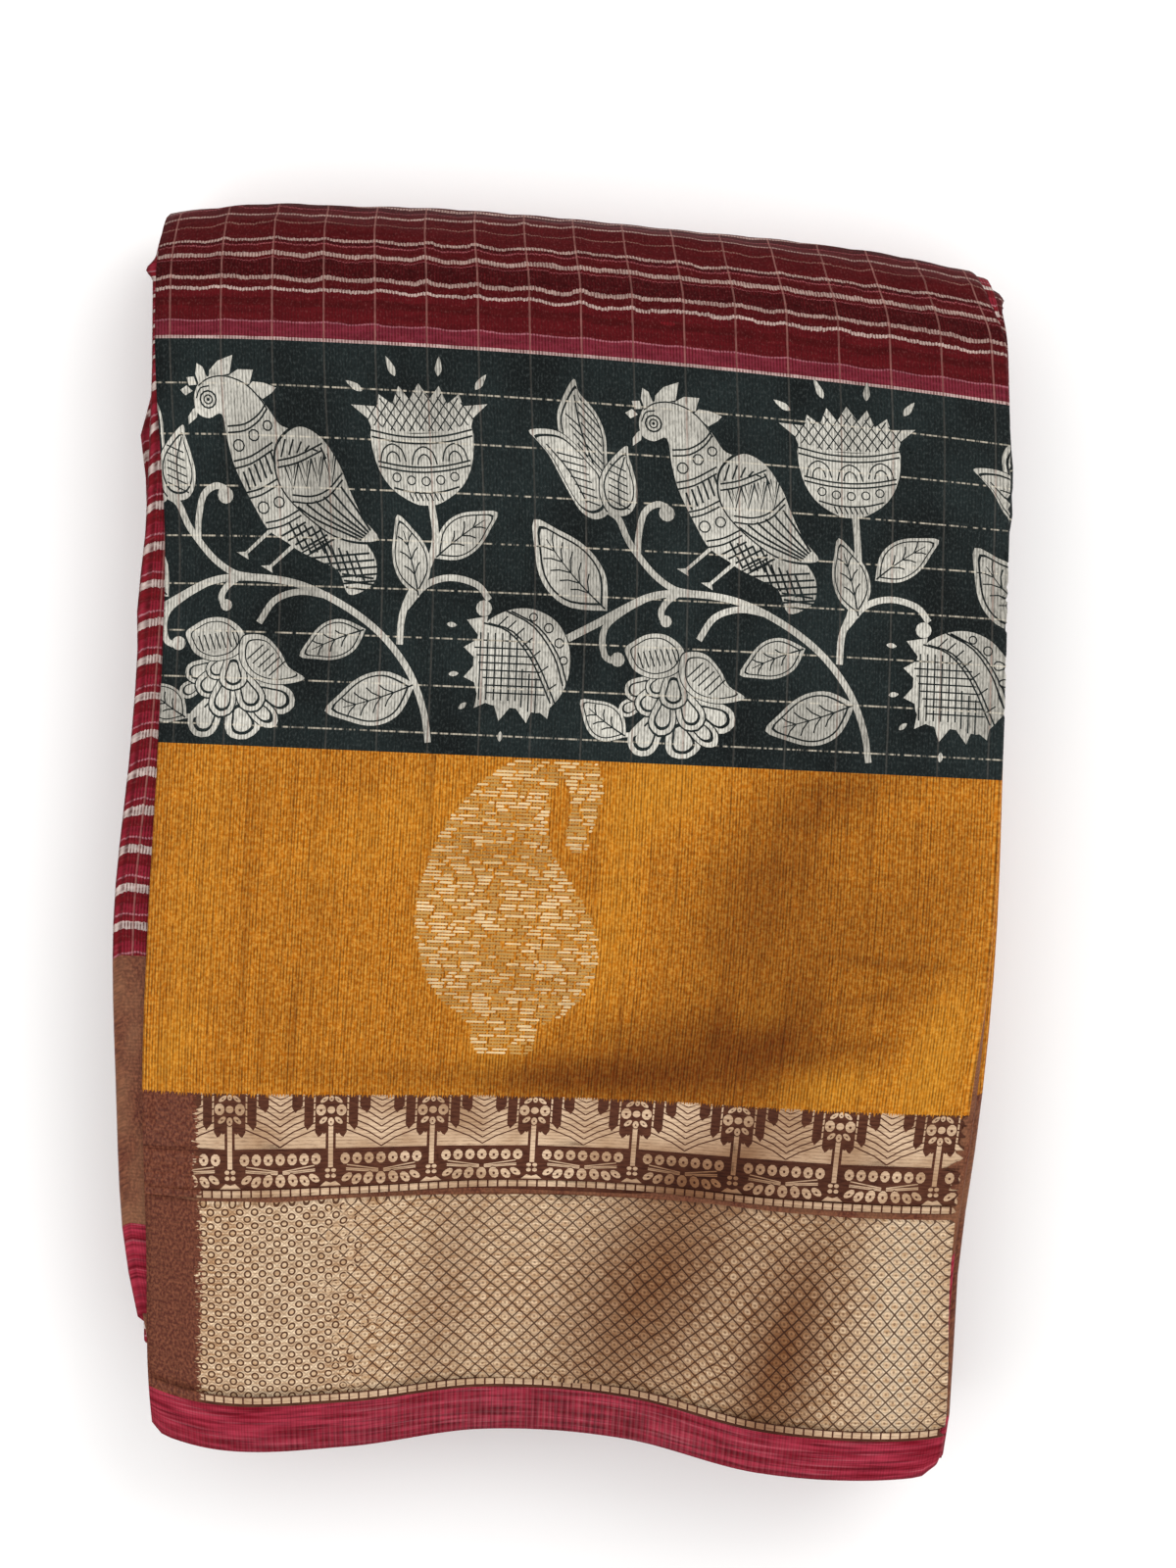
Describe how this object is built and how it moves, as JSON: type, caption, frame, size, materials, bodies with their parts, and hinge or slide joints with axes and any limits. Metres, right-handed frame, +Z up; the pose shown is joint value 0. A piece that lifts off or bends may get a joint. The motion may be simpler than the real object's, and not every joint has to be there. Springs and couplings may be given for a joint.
{
  "type": "folded silk sari",
  "caption": "Silk sari folded into a flat rectangular pack, rolled over at one end, with its printed and brocaded border on the front face and its hems at the other end.",
  "frame": {"origin": "centre of the pack's footprint box, on the surface that it lies on", "axes": "+Z up out of the front face, +Y along the pack towards its rolled fold, +X across the pack"},
  "size_m": [0.2146, 0.303, 0.04],
  "materials": {
    "sari_silk": "woven silk, striped, printed and brocaded"
  },
  "bodies": {
    "root": {"sari": "sari_silk"}
  },
  "joints": []
}
